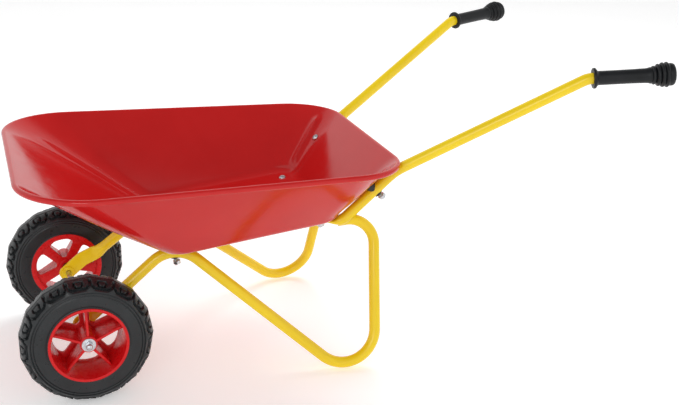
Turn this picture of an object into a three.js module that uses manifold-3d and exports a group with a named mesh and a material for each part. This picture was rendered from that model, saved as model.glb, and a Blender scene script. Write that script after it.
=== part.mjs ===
// A child-size garden wheelbarrow on two wheels: a pressed-steel tray with a curled rim, carried by four
// bent tubes, on a through axle with two moulded wheels.
//
// Millimetres. +X runs from the wheels to the handles, +Z is up, and -Y is the operator's left. While it is
// built, x = 0 is the axle and z = 0 is the ground. The last lines move the origin to the middle of the
// ground under the whole object.

import * as THREE from "three";
import { mergeVertices } from "three/addons/utils/BufferGeometryUtils.js";
import Module from "manifold-3d";

const wasm = await Module();
wasm.setup();

// ---- Driving dimensions ----------------------------------------------------------------------------------

const GAP = 0.3; // left between two pieces that touch

// Wheels
const WHEEL_RADIUS = 90;
const WHEEL_OFFSET = 141.9; // from the middle of the axle to each wheel's middle
const TYRE_WIDTH = 51;
const RIM_RADIUS = 53.6;
const RIM_WIDTH = 55.4;
const RIM_SEAT_RADIUS = 50.6; // where the tyre sits
const HUB_RADIUS = 11;
const SPOKES = 5;
const SPOKE_PHASE = { left: 90, right: 62 }; // degrees, as the two wheels happen to have stopped

// Axle
const AXLE_RADIUS = 4;
const AXLE_CLEARANCE = 0.05;
const AXLE_WASHER = { radius: 9.5, thickness: 1.5 };
const DOMED_NUT = { acrossFlats: 10, hexHeight: 5, domeHeight: 4 };

// Frame tube
const TUBE_RADIUS = 8;
const TUBE_WALL = 1.2;
const FLAT_HALF_WIDTH = 11.3; // where a tube's end is pressed flat
const FLAT_HALF_THICKNESS = 2;
const TUBE_SIDES = 12;
const TUBE_BEND = 48; // radius of the main bends, at the tube's centreline
const BEND_STEP = 0.28; // radians between two rings of a bend

// Tray
const SHEET = 1.2;
const BEAD_RADIUS = 4.2; // of the curled rim
const CURL_SWEEP = 290; // degrees that the sheet is rolled through
const FLOOR = { front: 118, rear: 365, halfFront: 127, halfRear: 124, radiusFront: 30, radiusRear: 25 };
const RIM = { front: -79.5, rear: 453, halfFront: 227.7, halfRear: 201.3, radiusFront: 100, radiusRear: 85 };
const FLOOR_FOLD = 10; // how far the fold between floor and wall reaches each way
const WAIST = 0.6; // a level of the wall, as a fraction of its height, where the corners are still tight
const ARC_STEPS = 7;
const SIDE_STEPS = 4;
const END_STEPS = 2;
const CURL_STEPS = 8;

// M6 fasteners
const BOLT_RADIUS = 3;
const HEAD = { radius: 6, height: 3.4 };
const NUT = { acrossFlats: 10, height: 5 };
const SADDLE_CROWN = 1.5; // a saddle's thickness over the top of the tube

// Grips
const GRIP = { sleeve: 9.7, flange: 13.6, bulb: 17.4, length: 113, ribs: 4 };

// The sides of the barrow: the operator's left is -Y.
const SIDES = { left: -1, right: 1 };

// ---- Materials -------------------------------------------------------------------------------------------

const material = (color, roughness, metalness) => new THREE.MeshStandardMaterial({ color, roughness, metalness });
const redPaint = () => material(0xbe1f1c, 0.3, 0.0);
const yellowPaint = () => material(0xf2cf28, 0.3, 0.0);
const redPlastic = () => material(0xc41a1c, 0.4, 0.0);
const tyreRubber = () => material(0x3a3c3e, 0.8, 0.0);
const gripRubber = () => material(0x1d1e20, 0.6, 0.0);
const blackPlastic = () => material(0x151515, 0.5, 0.0);
const zincPlate = () => material(0xc9ccd0, 0.3, 1.0);

// ---- Small helpers ---------------------------------------------------------------------------------------

const vec = (x, y, z) => new THREE.Vector3(x, y, z);
const mix = (a, b, t) => a + (b - a) * t;
const UP = vec(0, 0, 1);
const ACROSS = vec(0, 1, 0);

// Moves every vertex of a geometry to where the given function says.
function reshape(geometry, moved) {
  const position = geometry.getAttribute("position");
  for (let i = 0; i < position.count; i += 1) {
    const target = moved(position.getX(i), position.getY(i), position.getZ(i));
    position.setXYZ(i, target.x, target.y, target.z);
  }
  return geometry;
}

// A closed geometry as a solid that can be joined and cut.
function solid(geometry) {
  const bare = new THREE.BufferGeometry();
  bare.setAttribute("position", geometry.getAttribute("position").clone());
  if (geometry.index) bare.setIndex(geometry.index.clone());
  const merged = mergeVertices(bare, 1e-4);
  const corners = merged.index.array;
  const triangles = [];
  for (let i = 0; i < corners.length; i += 3) {
    const [a, b, c] = corners.slice(i, i + 3);
    if (a !== b && b !== c && c !== a) triangles.push(a, b, c);
  }
  return new wasm.Manifold(new wasm.Mesh({
    numProp: 3,
    vertProperties: new Float32Array(merged.getAttribute("position").array),
    triVerts: new Uint32Array(triangles),
  }));
}

// The surface of a solid as a geometry.
function surface(body) {
  const mesh = body.getMesh();
  const geometry = new THREE.BufferGeometry();
  geometry.setAttribute("position", new THREE.BufferAttribute(new Float32Array(mesh.vertProperties), 3));
  geometry.setIndex(new THREE.BufferAttribute(new Uint32Array(mesh.triVerts), 1));
  geometry.computeVertexNormals();
  return geometry;
}

function named(name, geometry, look) {
  const mesh = new THREE.Mesh(geometry, look);
  mesh.name = name;
  return mesh;
}

// A solid of revolution about +Y. The profile holds [radius, height] pairs.
const turned = (profile, sides) =>
  new THREE.LatheGeometry(profile.map(([r, h]) => new THREE.Vector2(r, h)), sides);

// The turn that carries +Y onto a direction, as a matrix with the given origin.
function standing(origin, direction) {
  const turn = new THREE.Quaternion().setFromUnitVectors(ACROSS, direction);
  return new THREE.Matrix4().compose(origin, turn, vec(1, 1, 1));
}

// A cylinder from one distance to another along a line.
function pin(origin, direction, from, to, radius, sides = 16) {
  const cylinder = new THREE.CylinderGeometry(radius, radius, to - from, sides);
  cylinder.translate(0, (from + to) / 2, 0);
  return cylinder.applyMatrix4(standing(origin, direction));
}

// ---- Bent tubes ------------------------------------------------------------------------------------------

// An arc that is tangent to two straight runs which would meet at a corner.
class Bend extends THREE.Curve {
  constructor(before, corner, after, radius) {
    super();
    this.incoming = corner.clone().sub(before).normalize();
    const outgoing = after.clone().sub(corner).normalize();
    this.turn = this.incoming.angleTo(outgoing);
    this.inward = outgoing.clone().addScaledVector(this.incoming, -Math.cos(this.turn)).normalize();
    this.radius = radius;
    const setback = radius * Math.tan(this.turn / 2);
    this.start = corner.clone().addScaledVector(this.incoming, -setback);
    this.end = corner.clone().addScaledVector(outgoing, setback);
  }

  getPoint(t) {
    const angle = t * this.turn;
    return this.start
      .clone()
      .addScaledVector(this.incoming, this.radius * Math.sin(angle))
      .addScaledVector(this.inward, this.radius * (1 - Math.cos(angle)));
  }

  getTangent(t) {
    const angle = t * this.turn;
    return this.incoming
      .clone()
      .multiplyScalar(Math.cos(angle))
      .addScaledVector(this.inward, Math.sin(angle));
  }
}

// The straight runs and bends of a tube, from the corners that it turns and the radius at each.
function route(corners, radii) {
  const curves = [];
  let start = corners[0];
  radii.forEach((radius, i) => {
    const bend = new Bend(corners[i], corners[i + 1], corners[i + 2], radius);
    curves.push(new THREE.LineCurve3(start, bend.start), bend);
    start = bend.end;
  });
  curves.push(new THREE.LineCurve3(start, corners[corners.length - 1]));
  return curves;
}

const lengthOf = (curve) => (curve instanceof Bend ? curve.radius * curve.turn : curve.getLength());
const routeLength = (curves) => curves.reduce((sum, curve) => sum + lengthOf(curve), 0);

// Cross-section stations along a route: more in the bends, and one at each of the marked distances.
function stationsAlong(curves, marks) {
  const stations = [];
  let travelled = 0;
  for (const curve of curves) {
    const length = lengthOf(curve);
    const steps = curve instanceof Bend ? Math.ceil(curve.turn / BEND_STEP) : 1;
    const fractions = Array.from({ length: steps }, (_, i) => i / steps);
    const inside = marks.map((mark) => (mark - travelled) / length).filter((t) => t > 0.001 && t < 0.999);
    for (const t of [...fractions, ...inside].sort((a, b) => a - b)) {
      stations.push({ point: curve.getPoint(t), ahead: curve.getTangent(t), distance: travelled + t * length });
    }
    travelled += length;
  }
  const last = curves[curves.length - 1];
  stations.push({ point: last.getPoint(1), ahead: last.getTangent(1), distance: travelled });
  return stations;
}

// Gives each station a sideways direction that turns no more than the route itself does.
function frameStations(stations, firstSide) {
  let side = firstSide.clone();
  for (const station of stations) {
    side.addScaledVector(station.ahead, -side.dot(station.ahead)).normalize();
    station.side = side.clone();
    station.other = station.ahead.clone().cross(side);
  }
  return stations;
}

// One point of a tube's section. Where the tube is pressed, it is thin along the press direction.
function sectionPoint(station, angle, radius, halfWidth, halfThickness) {
  const { press, flatness } = station;
  const towards = press ? Math.atan2(press.dot(station.other), press.dot(station.side)) : 0;
  const along = Math.cos(angle - towards);
  const across = Math.sin(angle - towards);
  const thin = Math.sign(along) * Math.pow(Math.abs(along), 0.15) * halfThickness;
  const up = mix(radius * along, thin, flatness);
  const wide = mix(radius * across, halfWidth * across, flatness);
  return station.point
    .clone()
    .addScaledVector(station.side, up * Math.cos(towards) - wide * Math.sin(towards))
    .addScaledVector(station.other, up * Math.sin(towards) + wide * Math.cos(towards));
}

// How flat a tube is at a distance along it: each pressed end is flat for a while and then rounds out.
function setFlatness(stations, total, ends) {
  for (const station of stations) {
    station.flatness = 0;
    for (const { fromEnd, press, flat, round } of ends) {
      const distance = fromEnd ? total - station.distance : station.distance;
      const amount = 1 - THREE.MathUtils.smoothstep(distance, flat, round);
      if (amount > 0) Object.assign(station, { press, flatness: amount });
    }
  }
  return stations;
}

const marksOf = (ends, total) =>
  ends.flatMap(({ fromEnd, flat, round }) =>
    [flat, (flat + round) / 2, round].map((distance) => (fromEnd ? total - distance : distance)));

// A hollow tube along a route, open at both ends.
function bentTube(curves, ends = []) {
  const total = routeLength(curves);
  const stations = frameStations(stationsAlong(curves, marksOf(ends, total)), ACROSS);
  setFlatness(stations, total, ends);
  const rows = stations.map((_, row) => row);
  const profile = [...rows.map((row) => [2, row]), ...rows.reverse().map((row) => [1, row]), [2, 0]];
  return reshape(turned(profile, TUBE_SIDES), (x, row, z) => {
    const inset = Math.round(Math.hypot(x, z)) === 2 ? 0 : TUBE_WALL;
    const station = stations[Math.round(row)];
    const angle = Math.atan2(x, z);
    return sectionPoint(
      station, angle, TUBE_RADIUS - inset, FLAT_HALF_WIDTH - inset, FLAT_HALF_THICKNESS - inset);
  });
}

// A solid round rod along a route, for cutting its shape out of a neighbour.
function bentRod(curves, radius) {
  const stations = frameStations(stationsAlong(curves, []), ACROSS);
  const last = stations.length - 1;
  const profile = [[0, 0], ...stations.map((_, row) => [1, row]), [0, last]];
  return reshape(turned(profile, TUBE_SIDES), (x, row, z) => {
    const station = stations[Math.round(row)];
    const outward = Math.round(Math.hypot(x, z)) * radius;
    const angle = Math.atan2(x, z);
    return station.point
      .clone()
      .addScaledVector(station.side, outward * Math.cos(angle))
      .addScaledVector(station.other, outward * Math.sin(angle));
  });
}

// ---- Tray ------------------------------------------------------------------------------------------------

const floorHeight = (x) => 187.5 + 0.105 * (x - 136); // the floor rises towards the handles
const rimHeight = (x) => 311.8 - 0.0207 * x; // top of the curled rim
const floorNormal = vec(-0.105, 0, 1).normalize();

// Stations around a four-sided outline with round corners, from the middle of the front, as points with the
// outline's outward direction. Both outlines have the same number of stations, so they can be joined.
function outlineStations({ front, rear, halfFront, halfRear, radiusFront, radiusRear }) {
  const corners = [
    vec(front, -halfFront, 0),
    vec(rear, -halfRear, 0),
    vec(rear, halfRear, 0),
    vec(front, halfFront, 0),
  ];
  const radii = [radiusFront, radiusRear, radiusRear, radiusFront];
  const steps = [SIDE_STEPS, END_STEPS, SIDE_STEPS, END_STEPS];
  const bends = corners.map((corner, i) =>
    new Bend(corners[(i + 3) % 4], corner, corners[(i + 1) % 4], radii[i]));
  const stations = [];
  bends.forEach((bend, i) => {
    for (let step = 0; step < ARC_STEPS; step += 1) {
      stations.push({ point: bend.getPoint(step / ARC_STEPS), ahead: bend.getTangent(step / ARC_STEPS) });
    }
    const next = bends[(i + 1) % 4];
    for (let step = 0; step < steps[i]; step += 1) {
      stations.push({ point: bend.end.clone().lerp(next.start, step / steps[i]), ahead: next.incoming });
    }
  });
  return stations.map(({ point, ahead }) => ({ point, ahead, outward: ahead.clone().cross(UP) }));
}

// The pressed sheet at one station of the outline: points from the floor's middle up the inner face, around
// the curl, and back down the outer face to the middle.
function sheetProfile(floorPoint, waistPoint, rimStation, middle) {
  const foot = floorPoint.clone().setZ(floorHeight(floorPoint.x));
  const { outward, ahead } = rimStation;
  const bead = rimStation.point.clone().addScaledVector(outward, -BEAD_RADIUS);
  bead.z = rimHeight(bead.x) - BEAD_RADIUS;
  let facing = bead.clone().sub(foot).cross(ahead).normalize();
  const tangentPoint = bead.clone().addScaledVector(facing, BEAD_RADIUS);
  facing = tangentPoint.sub(foot).cross(ahead).normalize();
  const wallTop = bead.clone().addScaledVector(facing, BEAD_RADIUS);
  const waist = waistPoint.clone().setZ(mix(foot.z, wallTop.z, WAIST));
  const upWall = waist.clone().sub(foot).normalize();
  const toMiddle = middle.clone().sub(foot).normalize();

  const onFloor = foot.clone().addScaledVector(toMiddle, FLOOR_FOLD);
  const onWall = foot.clone().addScaledVector(upWall, FLOOR_FOLD);
  const fold = new THREE.QuadraticBezierCurve3(onFloor, foot, onWall);
  const inner = [0, 1 / 3, 2 / 3, 1].map((t) => ({
    point: fold.getPoint(t),
    normal: floorNormal.clone().lerp(facing, t).normalize(),
  }));
  inner.push({ point: waist, normal: facing }, { point: wallTop, normal: facing });

  const startAngle = Math.atan2(facing.z, facing.dot(outward));
  const onCurl = (radius) => Array.from({ length: CURL_STEPS }, (_, i) => {
    const angle = startAngle - THREE.MathUtils.degToRad(CURL_SWEEP) * ((i + 1) / CURL_STEPS);
    return bead
      .clone()
      .addScaledVector(outward, radius * Math.cos(angle))
      .addScaledVector(UP, radius * Math.sin(angle));
  });
  const outer = inner.map(({ point, normal }) => point.clone().addScaledVector(normal, -SHEET));
  const below = middle.clone().addScaledVector(floorNormal, -SHEET);
  return [
    middle,
    ...inner.map(({ point }) => point),
    ...onCurl(BEAD_RADIUS),
    ...onCurl(BEAD_RADIUS - SHEET).reverse(),
    ...outer.reverse(),
    below,
  ];
}

// The wall's outline part of the way up. Its corners open out faster and faster towards the rim.
function waistDimensions() {
  const inset = 1.8 * BEAD_RADIUS;
  const level = (name, change) => mix(FLOOR[name], RIM[name] + change, WAIST);
  const corner = (name) => mix(FLOOR[name], RIM[name], WAIST * WAIST);
  return {
    front: level("front", inset),
    rear: level("rear", -inset),
    halfFront: level("halfFront", -inset),
    halfRear: level("halfRear", -inset),
    radiusFront: corner("radiusFront"),
    radiusRear: corner("radiusRear"),
  };
}

function trayShell() {
  const floorOutline = outlineStations(FLOOR);
  const rimOutline = outlineStations(RIM);
  const waistOutline = outlineStations(waistDimensions());
  const middleX = (FLOOR.front + FLOOR.rear) / 2;
  const middle = vec(middleX, 0, floorHeight(middleX));
  const profiles = floorOutline.map(({ point }, i) =>
    sheetProfile(point, waistOutline[i].point, rimOutline[i], middle)).reverse();
  const rows = profiles[0].length;
  const outline = Array.from({ length: rows }, (_, row) => [row === 0 || row === rows - 1 ? 0 : 1, row]);
  const lathe = turned(outline, profiles.length);
  // A lathe lists its vertices one station after another, so the station follows from the count.
  let vertex = 0;
  return reshape(lathe, () => {
    const station = Math.floor(vertex / rows) % profiles.length;
    const row = vertex % rows;
    vertex += 1;
    return profiles[station][row];
  });
}

// Where a line from inside the tray first meets the sheet.
function meetsSheet(trayGeometry, origin, direction) {
  const sheet = new THREE.Mesh(trayGeometry, new THREE.MeshBasicMaterial({ side: THREE.DoubleSide }));
  const [first] = new THREE.Raycaster(origin, direction).intersectObject(sheet);
  return first.point;
}

// ---- Frame routes ----------------------------------------------------------------------------------------

const FRONT_BOLT = { x: 134.5, y: 83 };
const REAR_BOLT_X = 346;
const WALL_BOLT_X = 419.2; // where its line meets the handle tube's centre
const TUBE_DROP = SHEET + GAP + TUBE_RADIUS; // from the tray's floor down to a tube's centre
const TAB_DROP = SHEET + GAP + FLAT_HALF_THICKNESS;
const EYE_Y = 93; // the flattened eye that hangs on the axle
const HANDLE_SPLAY = 0.377; // sideways drift of the handle tube for each millimetre along X
const handleY = (x) => HANDLE_SPLAY * (x - 87.8);

// The undercarriage tube of the right side: axle eye, arm, bend under the tray, diagonal, foot, upright, top
// bend, and the short run that ends against the handle tube.
function undercarriageRoute(sideways) {
  const corners = [
    vec(-9.5, EYE_Y, 83),
    vec(22, EYE_Y, 109),
    vec(47, 89, 121),
    vec(135.5, 80, 190.5),
    vec(401.3, 194.8, -43.4),
    vec(425.8, 106.2, floorHeight(425.8) - TUBE_DROP),
    vec(378.5, 101, floorHeight(378.5) - TUBE_DROP),
  ];
  const radii = [14, 14, TUBE_BEND, TUBE_BEND, 36];
  return route(corners.map((corner) => corner.multiply(vec(1, sideways, 1))), radii);
}

// The handle tube of the right side, all in one upright plane: inside the grip, bend, long slope, bend at the
// rim, run down along the rear wall, bend, and the pressed tab under the floor.
function handleRoute(sideways) {
  const corners = [
    vec(789.6, 260.9, 429.9),
    vec(690.8, handleY(690.8), 423),
    vec(445.7, handleY(445.7), 283.4),
    vec(372.8, handleY(372.8), floorHeight(372.8) - TUBE_DROP),
    vec(358, handleY(358), floorHeight(358) - TAB_DROP),
    vec(334, handleY(334), floorHeight(334) - TAB_DROP),
  ];
  return route(corners.map((corner) => corner.multiply(vec(1, sideways, 1))), [34, 80, 22, 10]);
}

const undercarriageEnds = [{ fromEnd: false, press: ACROSS, flat: 60, round: 88 }];
const handleEnds = [{ fromEnd: true, press: UP, flat: 27, round: 47 }];

// ---- Fasteners -------------------------------------------------------------------------------------------

function hexagon(acrossFlats) {
  const corner = acrossFlats / Math.sqrt(3);
  const shape = new THREE.Shape();
  for (let i = 0; i < 6; i += 1) {
    const angle = (i * Math.PI) / 3;
    shape[i === 0 ? "moveTo" : "lineTo"](corner * Math.cos(angle), corner * Math.sin(angle));
  }
  return shape;
}

// A hexagon nut standing on y = 0, with a plain bore.
function nutGeometry({ acrossFlats, height }, boreRadius) {
  const shape = hexagon(acrossFlats);
  shape.holes.push(new THREE.Path().absarc(0, 0, boreRadius, 0, Math.PI * 2, true));
  const geometry = new THREE.ExtrudeGeometry(shape, { depth: height, bevelEnabled: false, curveSegments: 8 });
  return geometry.rotateX(-Math.PI / 2);
}

function washerGeometry(innerRadius, outerRadius, thickness, sides = 16) {
  return turned([
    [innerRadius, 0],
    [outerRadius, 0],
    [outerRadius, thickness],
    [innerRadius, thickness],
    [innerRadius, 0],
  ], sides);
}

// A pan-headed bolt: its head below y = 0, its shank up +Y.
function boltGeometry(length) {
  const { radius, height } = HEAD;
  return turned([
    [0, -height],
    [radius * 0.6, -height],
    [radius * 0.92, -height * 0.6],
    [radius, 0],
    [BOLT_RADIUS, 0],
    [BOLT_RADIUS, length - 1],
    [BOLT_RADIUS - 0.8, length],
    [0, length],
  ], 12);
}

// A round saddle block on a bolt, from one distance to another along it, with its neighbours cut out.
function saddle(seat, down, from, to, radius, neighbours) {
  let block = solid(pin(seat, down, from, to, radius, 14));
  for (const neighbour of [...neighbours, solid(pin(seat, down, from - 1, to + 1, BOLT_RADIUS + GAP, 10))]) {
    block = block.subtract(neighbour);
  }
  return surface(block);
}

// ---- Wheels ----------------------------------------------------------------------------------------------

// A tyre about Y, with its crown, rounded shoulders and plain sidewalls.
function tyreGeometry() {
  const half = TYRE_WIDTH / 2;
  const bore = RIM_SEAT_RADIUS + GAP;
  return turned([
    [bore, -half + 1],
    [55, -half],
    [76, -half],
    [WHEEL_RADIUS - 4.5, -half + 1.2],
    [WHEEL_RADIUS - 1, -half + 7],
    [WHEEL_RADIUS, -half + 14],
    [WHEEL_RADIUS, half - 14],
    [WHEEL_RADIUS - 1, half - 7],
    [WHEEL_RADIUS - 4.5, half - 1.2],
    [76, half],
    [55, half],
    [bore, half - 1],
    [bore, -half + 1],
  ], 36);
}

const WEB = { inner: -RIM_WIDTH / 2 + 3, thickness: 6 };
const BARREL_BORE = 47.5;

// The dished barrel that the tyre sits on, between two flanges.
function barrelGeometry() {
  const edge = RIM_WIDTH / 2;
  const lip = TYRE_WIDTH / 2 + GAP;
  return turned([
    [BARREL_BORE - 1.5, -edge],
    [RIM_RADIUS, -edge],
    [RIM_RADIUS, -lip],
    [RIM_SEAT_RADIUS, -lip],
    [RIM_SEAT_RADIUS, lip],
    [RIM_RADIUS, lip],
    [RIM_RADIUS, edge],
    [BARREL_BORE + 2, edge],
    [BARREL_BORE - 1.5, -edge],
  ], 40);
}

// A window between two spokes: narrow near the hub, with an arc along the barrel.
function windowPath(middleAngle) {
  const spread = THREE.MathUtils.degToRad(22.5);
  const path = new THREE.Path();
  const at = (radius, angle) => [radius * Math.cos(angle), radius * Math.sin(angle)];
  path.moveTo(...at(17, middleAngle - 0.12));
  path.lineTo(...at(38, middleAngle - spread));
  path.quadraticCurveTo(...at(43, middleAngle - spread), ...at(43.5, middleAngle - spread * 0.72));
  path.lineTo(...at(44.5, middleAngle));
  path.lineTo(...at(43.5, middleAngle + spread * 0.72));
  path.quadraticCurveTo(...at(43, middleAngle + spread), ...at(38, middleAngle + spread));
  path.lineTo(...at(17, middleAngle + 0.12));
  path.closePath();
  return path;
}

// The disc with its windows, drawn in the wheel's plane and then laid across the axle.
function webGeometry() {
  const circle = new THREE.EllipseCurve(0, 0, BARREL_BORE, BARREL_BORE, 0, Math.PI * 2);
  const disc = new THREE.Shape(circle.getPoints(40).slice(1));
  for (let i = 0; i < SPOKES; i += 1) {
    disc.holes.push(windowPath(((i + 0.5) * 2 * Math.PI) / SPOKES));
  }
  const options = { depth: WEB.thickness, bevelEnabled: false, curveSegments: 3 };
  const geometry = new THREE.ExtrudeGeometry(disc, options);
  return geometry.rotateX(-Math.PI / 2).translate(0, WEB.inner, 0);
}

// A spoke's rib: tall at the hub, and following the barrel at its outer end.
function ribGeometry(angle) {
  const hubTop = RIM_WIDTH / 2 - 5;
  const outline = new THREE.Shape([
    new THREE.Vector2(HUB_RADIUS - 2, WEB.inner + 1),
    new THREE.Vector2(BARREL_BORE + 1, WEB.inner + 1),
    new THREE.Vector2(BARREL_BORE + 2.2, hubTop - 6),
    new THREE.Vector2(HUB_RADIUS - 2, hubTop),
  ]);
  const rib = new THREE.ExtrudeGeometry(outline, { depth: 3, bevelEnabled: false });
  return rib.translate(0, 0, -1.5).rotateY(angle);
}

// A moulded wheel about Y, its open face towards +Y and its web near the other face.
function rimSolid() {
  const edge = RIM_WIDTH / 2;
  let wheel = solid(barrelGeometry()).add(solid(webGeometry()));
  for (let i = 0; i < SPOKES; i += 1) wheel = wheel.add(solid(ribGeometry((i * 2 * Math.PI) / SPOKES)));
  wheel = wheel.add(solid(pin(vec(0, 0, 0), ACROSS, -edge, edge - 4, HUB_RADIUS, 24)));
  const bore = pin(vec(0, 0, 0), ACROSS, -edge - 1, edge + 1, AXLE_RADIUS + AXLE_CLEARANCE, 24);
  return wheel.subtract(solid(bore));
}

// One wheel as a group standing on the ground, its open face outwards.
function wheel(sideName) {
  const sideways = SIDES[sideName];
  const group = new THREE.Group();
  group.add(named(`${sideName}_tyre`, tyreGeometry(), tyreRubber()));
  const rim = surface(rimSolid());
  const phase = THREE.MathUtils.degToRad(SPOKE_PHASE[sideName]);
  rim.rotateY(sideways > 0 ? -phase : phase + Math.PI);
  group.add(named(`${sideName}_wheel_rim`, rim, redPlastic()));
  if (sideways < 0) group.rotation.z = Math.PI;
  group.position.set(0, sideways * WHEEL_OFFSET, WHEEL_RADIUS);
  return group;
}

// ---- Axle ------------------------------------------------------------------------------------------------

// Distances from the middle of the axle, outwards along each half.
const HUB_INNER = WHEEL_OFFSET - RIM_WIDTH / 2;
const HUB_OUTER = WHEEL_OFFSET + RIM_WIDTH / 2 - 4;
const OUTER_WASHER_AT = HUB_OUTER + GAP;
const DOMED_NUT_AT = OUTER_WASHER_AT + AXLE_WASHER.thickness + GAP;
const AXLE_END = DOMED_NUT_AT + DOMED_NUT.hexHeight;

function axleGeometry() {
  const thread = BOLT_RADIUS;
  const shoulder = HUB_OUTER;
  return turned([
    [0, -AXLE_END],
    [thread, -AXLE_END],
    [thread, -shoulder],
    [AXLE_RADIUS, -shoulder],
    [AXLE_RADIUS, shoulder],
    [thread, shoulder],
    [thread, AXLE_END],
    [0, AXLE_END],
  ], 24);
}

// A hexagon nut with a closed dome, standing on y = 0, its blind hole open at the bottom.
function domedNutGeometry() {
  const { acrossFlats, hexHeight, domeHeight } = DOMED_NUT;
  const radius = acrossFlats / 2 - 0.4;
  const prism = new THREE.ExtrudeGeometry(hexagon(acrossFlats), { depth: hexHeight, bevelEnabled: false });
  prism.rotateX(-Math.PI / 2);
  const dome = turned([
    [0, hexHeight - 1],
    [radius, hexHeight - 1],
    [radius, hexHeight],
    [radius * 0.85, hexHeight + domeHeight * 0.55],
    [radius * 0.5, hexHeight + domeHeight * 0.88],
    [0, hexHeight + domeHeight],
  ], 16);
  const hole = pin(vec(0, 0, 0), ACROSS, -1, hexHeight + GAP, BOLT_RADIUS + GAP, 12);
  return surface(solid(prism).add(solid(dome)).subtract(solid(hole)));
}

// The pieces on one half of the axle, from the inside of the arm's eye outwards.
function axlePieces(sideName) {
  const group = new THREE.Group();
  const sideways = SIDES[sideName];
  const eyeInner = EYE_Y - FLAT_HALF_THICKNESS;
  const eyeOuter = EYE_Y + FLAT_HALF_THICKNESS;
  const bore = AXLE_RADIUS + GAP;
  const lock = named(`${sideName}_lock_washer`, washerGeometry(bore, 9.5, 1.6), zincPlate());
  lock.position.y = eyeInner - GAP - 1.6;
  const collarLength = HUB_INNER - eyeOuter - 2 * GAP;
  const collar = named(`${sideName}_axle_collar`, washerGeometry(bore, 7, collarLength, 16), blackPlastic());
  collar.position.y = eyeOuter + GAP;
  const { radius, thickness } = AXLE_WASHER;
  const washer = named(
    `${sideName}_outer_washer`, washerGeometry(BOLT_RADIUS + GAP, radius, thickness), zincPlate());
  washer.position.y = OUTER_WASHER_AT;
  const nut = named(`${sideName}_axle_nut`, domedNutGeometry(), zincPlate());
  nut.position.y = DOMED_NUT_AT;
  group.add(lock, collar, washer, nut);
  if (sideways < 0) group.rotation.z = Math.PI;
  group.position.z = WHEEL_RADIUS;
  return group;
}

// ---- Grips -----------------------------------------------------------------------------------------------

// A push-on grip about Y: flange at y = 0, sleeve, ribbed bulb and a blunt end, with a blind bore.
function gripGeometry(boreDepth) {
  const { sleeve, flange, bulb, length, ribs } = GRIP;
  const bore = TUBE_RADIUS + GAP;
  const bulbStart = 79;
  const ribPitch = 6;
  const profile = [
    [0, boreDepth],
    [bore, boreDepth],
    [bore, 0],
    [flange - 1, 0],
    [flange, 1.5],
    [flange, 4],
    [flange - 2, 6],
    [sleeve + 0.6, 7.5],
    [sleeve, 10],
    [sleeve + 0.4, bulbStart - 6],
    [sleeve + 2, bulbStart],
  ];
  for (let rib = 0; rib < ribs; rib += 1) {
    const crest = bulb - [2.2, 0.6, 0, 0.4][rib];
    const at = bulbStart + 5 + rib * ribPitch;
    profile.push([crest - 1.4, at - 1.8], [crest, at], [crest, at + 1.6], [crest - 1.6, at + 3]);
  }
  profile.push([bulb - 2.4, length - 4], [bulb - 6, length], [0, length]);
  return turned(profile, 14);
}

// ---- Assembly --------------------------------------------------------------------------------------------

const wheelbarrow = new THREE.Group();

// The tray's own shell, before its bolt holes.
const shellGeometry = trayShell();
let tray = solid(shellGeometry);

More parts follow.
